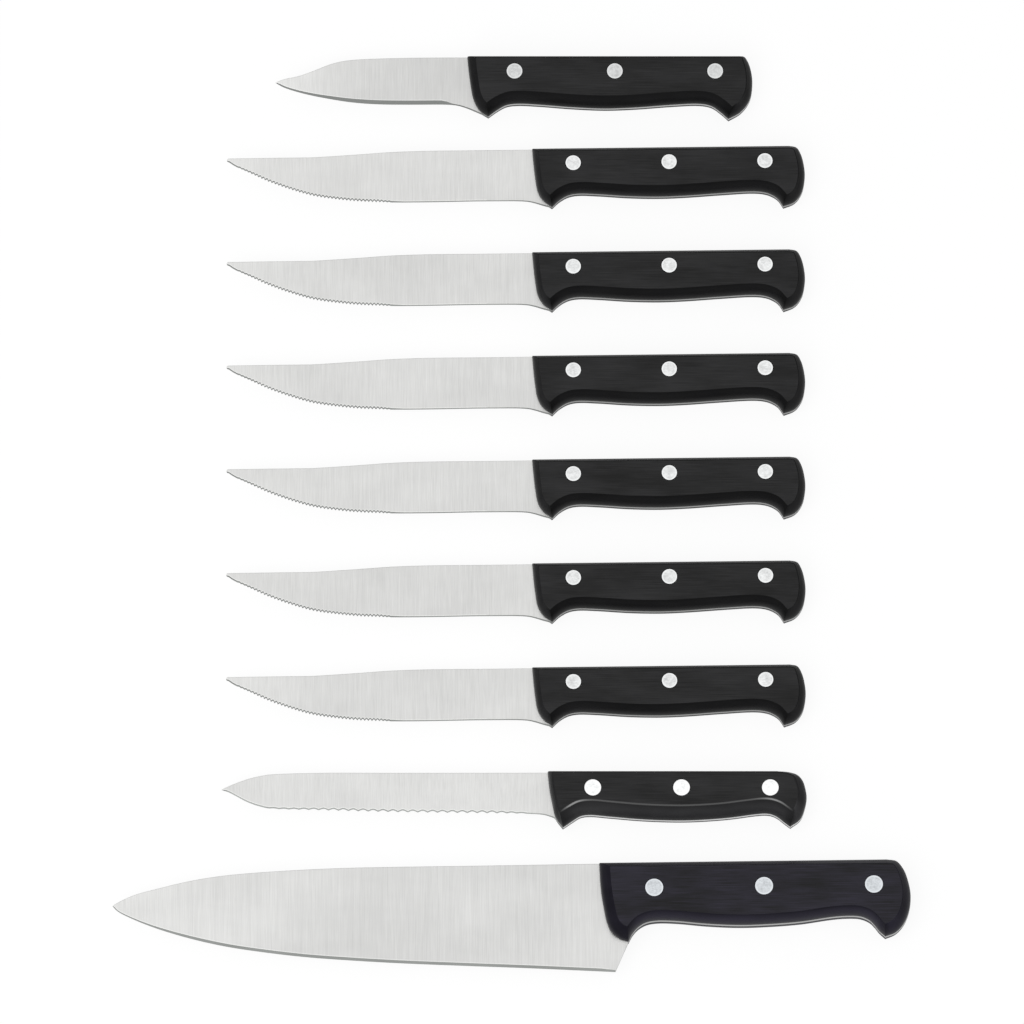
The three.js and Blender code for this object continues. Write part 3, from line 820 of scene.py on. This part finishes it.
class Blade:
    """The lines of one blade and its tang, and the loft that is drawn from them.

    A line's points are (x, y, half thickness), from the tip on.
    """

    def __init__(self, knife, shape, design):
        self.shape, self.design = shape, design
        spine, grind, edge = (np.array(line) for line in knife.blade_lines())
        upper, lower = (np.array(line) for line in knife.tang_lines())
        bevel = (grind - edge)[-1, 1]
        half_edge = shape.edge_width / 2
        edge[:, 2] = np.maximum(edge[:, 2] - edge[0, 2] + half_edge, half_edge)
        self.edge = edge
        self.upper = np.vstack([spine[:-1], upper])
        self.grind = np.vstack([grind[:-1], lower + (0, bevel, 0)])
        self.lower = np.vstack([edge[:-1], lower])
        self.horn = edge[-1, 0]
        blunt = np.nonzero(edge[:, 2] > edge[0, 2] + TOUCHING)[0]
        self.heel = edge[max(blunt[0] - 1, 0), 0]  # behind it the edge side is blunt
        steps = np.diff(edge[:, :2], axis=0)
        self.run = np.concatenate([[0], np.cumsum(np.hypot(*steps.T))])
        self.first, self.last, self.pitch = 0.0, 0.0, MM  # teeth, by their places along the edge
        start, end = spine[0, 0], upper[-1, 0]
        stops = [self.upper[:, 0], self.lower[:, 0],
                 start + design.nose * (1 - np.cos(np.linspace(0, math.pi / 2, NOSE_STOPS)))]
        if design.depth:
            gaps = [start + design.tip_gap, -design.heel_gap]
            self.first, self.last = np.interp(gaps, edge[:, 0], self.run)
            teeth = round((self.last - self.first) / design.pitch)
            self.pitch = (self.last - self.first) / teeth
            row = np.linspace(self.first, self.last, teeth * shape.tooth_steps + 1)
            stops.append(np.interp(row, self.run, edge[:, 0]))
        stops = np.clip(np.concatenate(stops), start, end - TIP_HEIGHT)
        self.stops = np.unique(np.round(stops, 6))

    def section(self, x):
        """The points of a cross-section on its upper side, from the spine down to the edge."""
        design, behind_tip = self.design, x - self.stops[0]
        (top, top_half), (grind, grind_half), (low, low_half) = (
            [np.interp(x, line[:, 0], line[:, i]) for i in (1, 2)]
            for line in (self.upper, self.grind, self.lower))
        if x < 0:
            nose = rounding(behind_tip, design.nose)
            low, top = min(low, self.upper[0, 1] - nose), max(top, self.upper[0, 1] + nose)
        top = max(top, low + TIP_HEIGHT)
        rim = min(max((x - self.heel) / (self.horn - self.heel), 0), 1)
        plain = smoothstep((x + design.heel_gap) / HEEL_FADE)
        band = design.band * (1 - (1 - PLAIN_BAND) * plain)
        if design.taper:
            band *= TIP_BAND + (1 - TIP_BAND) * smoothstep(behind_tip / design.taper)
        given = grind - low
        band = min(band, max(given, (top - low) / 3))
        grind_half *= rim + (1 - rim) * min(band / given, 1) ** 0.5
        grind = low + band
        if self.heel < 0:
            grind += (BLUNT_BAND - band) * smoothstep((x - self.heel + HEEL_START) / HEEL_FADE)
        return self.half_section(x, (top, top_half), (grind, grind_half), (low, low_half), rim)

    def half_section(self, x, top, grind, low, rim):
        """Those points, rounded at both ends. top, grind and low are (y, half thickness).

        rim is 0 where the edge is sharp and 1 along the tang.
        """
        shape, most = self.shape, (top[0] - low[0]) / 8
        crown = min(shape.spine_rounding * (1 - rim) + shape.tang_rounding * rim, most)
        foot = min(shape.tang_rounding, most)
        points = [(top[0] - crown * (1 - math.cos(turn)), top[1] - crown * (1 - math.sin(turn)))
                  for turn in SPINE_TURNS]
        share = min(SUPPORT / max(points[-1][0] - grind[0], TOUCHING), 0.5)
        points += [tuple(a + (b - a) * share for a, b in zip(points[-1], grind)), grind]
        for share in (2 / 3, 1 / 3, 0):
            sharp = low[0] + share * (grind[0] - low[0]), low[1] + share * (grind[1] - low[1])
            blunt = low[0] + foot * (share + share**2) * 0.9, low[1] - foot * (1 - share) ** 2
            points.append(tuple(a + (b - a) * rim for a, b in zip(sharp, blunt)))
        return [Vector((x, y, z)) for y, z in points]

    def marks(self, x):
        """What the teeth and the finish need to know of a cross-section, apart from its points."""
        design = self.design
        before, after = np.interp([x - SLOPE_REACH, x + SLOPE_REACH], *self.lower.T[:2])
        inward = Vector((before - after, 2 * SLOPE_REACH, 0)).normalized()
        place = float(np.interp(x, self.edge[:, 0], self.run))
        tone, teeth = design.steel_tone, 1.0
        # painted light: the blade made lighter towards its tip
        if design.tip_reach:
            behind_tip = x - self.stops[0]
            tone += design.tip_tone * (1 - smoothstep(behind_tip / design.tip_reach))
        if design.depth:
            grown = smoothstep((place - self.first) / (TEETH_GROWING * design.pitch))
            left = smoothstep((self.last - place) / (TEETH_FADING * design.pitch))
            teeth = SHALLOW_TEETH + (1 - SHALLOW_TEETH) * grown * left
        return place, teeth, inward if x < self.heel else Vector((0, 1, 0)), tone

    def mesh(self):
        """Blade and tang in one closed loft from the tip to the butt, with its marks."""
        rings, stored, rows = [], {}, []
        for x in self.stops:
            points = self.section(x)
            place, teeth, inward, tone = self.marks(x)
            side = [*range(len(points))]
            for i in side + side[::-1]:
                above = points[i].y - points[GRIND].y if x < self.heel else 1.0
                for name, value in (("along_edge", place), ("tooth_share", teeth * (i >= GRIND)),
                                    ("inward", inward), ("above_grind", above), ("tone", tone)):
                    stored.setdefault(name, []).append(value)
                rows.append(i)
            rings.append(points + [Vector((p.x, p.y, -p.z)) for p in reversed(points)])
        mesh = loft(rings)
        for name, values in stored.items():
            store(mesh, name, values)
        end = self.heel if self.heel > 0 else self.horn
        honed, rim = [], []
        for face in mesh.polygons:
            low = all(rows[v] >= GRIND for v in face.vertices)
            honed.append(float(low and len(face.vertices) == 4 and face.center.x < end))
            rim.append(float(face.center.x > end and abs(face.normal.z) < UPRIGHT))
        store(mesh, "honed", honed, "FACE")
        store(mesh, "rim", rim, "FACE")
        return mesh


class KNIVES_OT_blades(bpy.types.Operator):
    """Grinds the blades: smooth outlines, sharpened bevels and teeth, with the tang in one piece"""

    bl_idname = "knives.grind_blades"
    bl_label = "Grind the blades"

    def execute(self, context):
        settings = context.scene.knife_set
        flats, bevel = belt_ground_steel(settings.look), honed_steel(settings.look)
        tree = serrating_tree()
        for knife, design in settings.knives():
            blade = Blade(knife, settings.shape, design)
            piece = new_object(f"{knife.name}_ground_blade", blade.mesh())
            tree.modify(piece, first_tooth=blade.first, last_tooth=blade.last, pitch=blade.pitch,
                        depth=design.depth, flats=flats, bevel=bevel)
            make_plain(piece)
            drill(piece, knife, settings.shape.rivet_sides)
            shade_smooth(piece.data)
            # painted shade of the honed band and a painted reflection on the tang's rim, for each
            # knife
            for name in ("honed_tone", "rim_tone"):
                store(piece.data, name, getattr(design, name))
            finish_piece(piece, knife, "blade_steel", f"{knife.name}_blade")
        return {"FINISHED"}


# ---------------- scales
RISES = {"front": (0.83, 0.55), "back": (1, 0.8)}  # how far each curve stays upright, and leans
MITRE = 0.6  # the least cosine at which a border's inner line keeps its distance from a corner
FOLD_TRIES = 16  # how often a border is narrowed where it folds over
FOLD_REACH = (1, 2, 3)  # how many points further on a fold is looked for
SHRUNK, NARROWED = 0.2, 0.85  # a step shrunk to less is a fold; what is left of its width then
CORNER_FADE = 4  # number of points over which a painted light comes in beside a corner
HOOK_REACH = 9 * MM  # height above the hook at which the painted light behind it has faded away
BELLY_FADE = 0.1  # share of the belly over which its painted light and highlight come in at either end
HIGHLIGHT_LEAST = 0.2  # how bright the painted highlight on the border is between its bends
HIGHLIGHT_BENDS = ((0.55, 0.2, 0.08), (0.8, 0.9, 0.07))  # how much more, where, and how far round it


def inward_at(ring, i):
    """The direction, in the plane, from a point of a clockwise ring towards its inside.

    It is long enough to keep a line at distance 1 from both sides of a corner.
    """
    before = (ring[i] - ring[i - 1]).xy.normalized()
    after = (ring[(i + 1) % len(ring)] - ring[i]).xy.normalized()
    along = (before + after).normalized()
    return Vector((along.y, -along.x, 0)) / max(along.dot(after), MITRE)


def without_folds(ring, widths):
    """The widths of a border inside a ring, made narrower where its inner line would fold over."""
    count = len(ring)
    inward = [inward_at(ring, i) for i in range(count)]
    for _ in range(FOLD_TRIES):
        inner = [p + way * width for p, way, width in zip(ring, inward, widths)]
        folded = set()
        for one in range(count):
            for other in ((one + reach) % count for reach in FOLD_REACH):
                chord = ring[other] - ring[one]
                if (inner[other] - inner[one]).dot(chord) < SHRUNK * chord.length_squared:
                    folded |= {one, other}
        widths = [width * (NARROWED if i in folded else 1) for i, width in enumerate(widths)]
    return widths


def shares(steps):
    """How far each step has come, from 0 to 1, and how far it still has to go."""
    return [(step / steps, 1 - step / steps) for step in range(steps + 1)]


def side_profile(outer, lower, upper, inward, radius, label, shape):
    """The points up the side of a scale: a curve from the tang, then an arc over the border.

    outer lies on the outline of the tang, lower where the facets bend, and upper on the border.
    """
    steep_rise, lean_rise = RISES[label]
    start = upper + (lower - upper).normalized() * radius
    steep = outer.lerp(Vector((outer.x, outer.y, lower.z)), steep_rise)
    lean = start.lerp(lower, lean_rise)
    inner = upper + inward * radius
    curve = [outer * s**3 + steep * 3 * s**2 * t + lean * 3 * s * t**2 + start * t**3
             for t, s in shares(shape.profile_steps)]
    arc = [start * s**2 + upper * 2 * s * t + inner * t**2 for t, s in shares(shape.arc_steps)]
    return curve[:-1] + arc


def belly_share(along):
    """1 on the belly, between hook and horn, fading out towards both."""
    return min(1, max(0, min(along, 1 - along)) / BELLY_FADE)


def highlight_share(along):
    """How worn the border is at a place between hook and horn: most in its two bends."""
    bends = sum(most * math.exp(-((along - place) / reach) ** 2)
                for most, place, reach in HIGHLIGHT_BENDS)
    return belly_share(along) * (HIGHLIGHT_LEAST + bends)


def scale_mesh(knife, shape, design, label):
    """One moulded scale: from the tang it rises steeply and leans over to a crisp border.

    Its points say how worn the border is there, how far the side bulges, and the tone of its ends.
    """
    outline, bend, flank = knife.rings
    count = len(flank)
    leans = [(f - b).xy.length for b, f in zip(bend, flank)]
    full = leans[(knife.horn + knife.hook) // 2]
    radii = without_folds(flank, [
        shape.crown_rounding + (design.border - shape.crown_rounding) * min(lean / full, 1)
        for lean in leans])
    profiles = [side_profile(outline[i], bend[i], flank[i], inward_at(flank, i), radii[i], label,
                             shape) for i in range(count)]
    side = 1 if label == "front" else -1
    rings = [[Vector((p.x, p.y, side * p.z)) for p in ring] for ring in zip(*profiles)]
    mesh = loft(rings)
    along = [(i - knife.hook) / (knife.horn - knife.hook) for i in range(count)]
    crest, reach = shape.profile_steps + shape.arc_steps / 2, shape.arc_steps / 2
    hook = outline[knife.hook]
    # painted light: lighter at the front end and behind the hook
    end_lights = []
    for i, p in enumerate(outline):
        front = smoothstep((i - knife.horn) / CORNER_FADE)
        behind = smoothstep((knife.hook - i) / CORNER_FADE)
        behind *= smoothstep(1 - (p.y - hook.y) / HOOK_REACH)
        end_lights.append(design.front_tone * front + design.hook_tone * behind)
    steps = range(len(rings))
    # a painted highlight on the border, painted light on the belly and painted light at the front
    # and behind the hook
    for name, up_the_side, round_the_scale in (
            ("wear", [max(0, 1 - abs(step - crest) / reach) for step in steps],
             [design.wear * highlight_share(place) for place in along]),
            ("bulge", [math.sin(math.pi * min(step / shape.profile_steps, 1)) for step in steps],
             [belly_share(place) for place in along]),
            ("end_tone", [1.0] * len(rings), end_lights)):
        store(mesh, name, [a * b for a in up_the_side for b in round_the_scale])
    return mesh


class KNIVES_OT_scales(bpy.types.Operator):
    """Moulds the two scales of each handle, drills them and rounds their crisp edges"""

    bl_idname = "knives.mould_scales"
    bl_label = "Mould the scales"

    def execute(self, context):
        settings = context.scene.knife_set
        finishes = sanded_plastic(settings.look), moulded_plastic(settings.look)
        for knife, design in settings.knives():
            for label in RISES:
                piece = new_object(f"{knife.name}_{label}_grip",
                                   scale_mesh(knife, settings.shape, design, label))
                drill(piece, knife, settings.shape.rivet_sides)
                bevel = piece.modifiers.new("Crisp edges", "BEVEL")
                bevel.limit_method = "ANGLE"
                bevel.angle_limit = SHARP
                bevel.width = settings.shape.scale_rounding
                bevel.segments = 3
                make_plain(piece)
                piece.data.materials.clear()
                for finish in finishes:
                    piece.data.materials.append(finish)
                for face in piece.data.polygons:
                    height = face.normal.z if label == "front" else -face.normal.z
                    face.material_index = 0 if height > LEVEL else 1
                shade_smooth(piece.data)
                # the violet cast, and the painted light on each knife's rounded sides
                for name in ("violet", "side_tone"):
                    store(piece.data, name, getattr(design, name))
                finish_piece(piece, knife, "handle_plastic", f"{knife.name}_{label}_scale")
        return {"FINISHED"}


# ---------------- rivets
def rivet_tree():
    """Puts a rivet on each point of a mesh: half its section, swept once round its axis."""
    tree = GeometryTree("Rivets", {
        "Radius": "Float", "Length": "Float", "Rounding": "Float", "Sides": "Int",
        "Finish": "Material"})
    given = tree.input
    radius, half = given["Radius"], given["Length"] / 2

    def corner(x, y):
        return tree.add("ShaderNodeCombineXYZ", None, x, y, 0.0)

    section = tree.add("GeometryNodeCurvePrimitiveQuadrilateral", {"mode": "POINTS"},
                       point_1=corner(radius * -1, half), point_2=corner(0.0, half),
                       point_3=corner(0.0, half * -1), point_4=corner(radius * -1, half * -1))
    section = tree.add("GeometryNodeSetSplineCyclic", None, section, cyclic=False)
    section = tree.add("GeometryNodeFilletCurve", {"mode": "POLY"}, section, count=4,
                       radius=given["Rounding"])
    turn = tree.add("GeometryNodeCurvePrimitiveCircle", {"mode": "RADIUS"},
                    resolution=given["Sides"], radius=radius)
    rivet = tree.add("GeometryNodeCurveToMesh", None, turn, section)
    rivet = tree.add("GeometryNodeMergeByDistance", None, rivet, distance=TOUCHING)
    rivets = tree.add("GeometryNodeInstanceOnPoints", None, given["Geometry"], instance=rivet)
    return tree.end(rivets, (True, given["Finish"]))


class KNIVES_OT_rivets(bpy.types.Operator):
    """Sets the three round rivets of each handle"""

    bl_idname = "knives.set_rivets"
    bl_label = "Set the rivets"

    def execute(self, context):
        settings = context.scene.knife_set
        finish = sanded_rivet(settings.look)
        tree = rivet_tree()
        for knife, design in settings.knives():
            piece = new_object(f"{knife.name}_rivets", new_mesh("centres", knife.rivets))
            tree.modify(piece, radius=knife.rivet_radius, length=knife.rivet_length,
                        rounding=settings.shape.rivet_rounding, sides=settings.shape.rivet_sides,
                        finish=finish)
            make_plain(piece)
            face_outwards(piece.data)
            shade_smooth(piece.data)
            store(piece.data, "tone", design.rivet_tone)
            store(piece.data, "violet", design.violet)
            store(piece.data, "from_axis", [
                min((v.co - centre).xy.length for centre in knife.rivets) / knife.rivet_radius
                for v in piece.data.vertices])
            finish_piece(piece, knife, "rivet_metal",
                         *(f"{knife.name}_rivet_{i}" for i in (1, 2, 3)))
        return {"FINISHED"}


# ---------------- studio
WHITE = (1, 1, 1, 1)
MATT_WHITE = (0.9, 0.9, 0.9, 1)
TABLE_GLOW = 1.04  # strength of the even white that the camera sees in the table
GLOW_SHARE, MIRRORED_SHARE = 0.86, 0.8  # the rest is the lit table, with the shadow on it
WALL_TOP, CEILING = math.radians(20), math.radians(62)  # heights at which they begin to blend
AIM = Vector((0.05 * MM, 4.55 * MM, 0))  # the middle of what the camera sees of the table


def emptied(owner):
    """The node tree of a new material or world, without the nodes that it comes with."""
    owner.use_nodes = True
    owner.node_tree.nodes.clear()
    return Tree(owner.node_tree)


def rays(tree):
    """Two masks: what the camera sees, and what is seen in a reflection or through glass."""
    seen, glossy, passed = (tree.add("ShaderNodeLightPath", out=f"Is {name} Ray")
                            for name in ("Camera", "Glossy", "Transmission"))
    return seen, tree.math("MINIMUM", glossy + passed, 1.0)


def table_top(studio):
    """A matt white floor. It looks white itself, but keeps the shadow of what lies on it."""
    half = studio.floor_size / 2
    corners = [(-half, -half, 0), (half, -half, 0), (half, half, 0), (-half, half, 0)]
    mesh = new_mesh("table_top", corners, [(0, 1, 2, 3)])
    material = bpy.data.materials.new("table_white")
    tree = emptied(material)
    seen, mirrored = rays(tree)
    matt = tree.add("ShaderNodeBsdfDiffuse", None, Color=MATT_WHITE)
    glow, dim = (tree.add("ShaderNodeEmission", None, Color=WHITE, Strength=strength)
                 for strength in (TABLE_GLOW, studio.table_brightness))
    surface = tree.mixed(seen * GLOW_SHARE, matt, glow)
    tree.add("ShaderNodeOutputMaterial", None, tree.mixed(mirrored * MIRRORED_SHARE, surface, dim))
    mesh.materials.append(material)
    new_object("table_top", mesh)


def room(studio):
    """Even light from all round. The camera sees it white, and reflections darker at the walls."""
    world = bpy.data.worlds.new("studio")
    tree = emptied(world)
    seen, mirrored = rays(tree)
    direction = tree.add("ShaderNodeTexCoord", out="Generated")
    height = tree.add("ShaderNodeSeparateXYZ", None, direction, out="Z")
    walls = tree.smooth(height, math.sin(WALL_TOP), math.sin(CEILING), studio.wall_brightness,
                        studio.ceiling_brightness)
    light, reflected, white = (tree.add("ShaderNodeBackground", None, WHITE, strength)
                               for strength in (studio.room_light, walls, 1.0))
    unseen = tree.mixed(mirrored, light, reflected)
    tree.add("ShaderNodeOutputWorld", None, tree.mixed(seen, unseen, white))
    bpy.context.scene.world = world


def soft_box(studio):
    """One large lamp high over the table, on its near side and to the left."""
    lamp = bpy.data.lights.new("soft_box", "AREA")
    lamp.size = studio.lamp_size
    lamp.energy = studio.lamp_power
    box = new_object("soft_box", lamp)
    box.location = (-0.35 * studio.lamp_height, -0.5 * studio.lamp_height, studio.lamp_height)
    box.rotation_euler = (-box.location).to_track_quat("-Z", "Y").to_euler()
    box.visible_camera = box.visible_glossy = False


def camera(studio):
    """A long lens that looks down on the set from its near side."""
    lens = bpy.data.cameras.new("camera")
    lens.lens = studio.lens
    lens.clip_end = 100
    distance = studio.view_width * lens.lens / lens.sensor_width
    eye = new_object("camera", lens)
    back = Vector((0, -math.cos(studio.elevation), math.sin(studio.elevation)))
    eye.location = AIM + back * distance
    eye.rotation_euler = (-back).to_track_quat("-Z", "Y").to_euler()
    bpy.context.scene.camera = eye


class KNIVES_OT_studio(bpy.types.Operator):
    """Sets up the white table, the light and the camera"""

    bl_idname = "knives.set_up_studio"
    bl_label = "Set up the studio"

    def execute(self, context):
        studio = context.scene.knife_set.studio
        for part in (table_top, room, soft_box, camera):
            part(studio)
        context.scene.view_settings.view_transform = "Standard"
        return {"FINISHED"}


# ---------------- add-on
class KNIVES_PT_panel(bpy.types.Panel):
    """Lists the settings and the steps that make the knife set"""

    bl_idname = "KNIVES_PT_panel"
    bl_label = "Kitchen knives"
    bl_space_type = "VIEW_3D"
    bl_region_type = "UI"
    bl_category = "Knives"

    def draw(self, context):
        settings = context.scene.knife_set
        for name, kind in GROUPS.items():
            box = self.layout.box()
            box.label(text=name.capitalize())
            for key in kind.__annotations__:
                box.prop(getattr(settings, name), key)
        for operator in OPERATORS:
            self.layout.operator(operator.bl_idname)


OPERATORS = (KNIVES_OT_studio, KNIVES_OT_blades, KNIVES_OT_scales, KNIVES_OT_rivets)
CLASSES = (*GROUPS.values(), KnifeSetSettings, *OPERATORS, KNIVES_PT_panel)


def register():
    for cls in CLASSES:
        bpy.utils.register_class(cls)
    bpy.types.Scene.knife_set = bpy.props.PointerProperty(type=KnifeSetSettings)


def unregister():
    del bpy.types.Scene.knife_set
    for cls in reversed(CLASSES):
        bpy.utils.unregister_class(cls)


def main():
    register()
    bpy.ops.knives.set_up_studio()
    bpy.ops.knives.grind_blades()
    bpy.ops.knives.mould_scales()
    bpy.ops.knives.set_rivets()


if __name__ == "__main__":
    main()
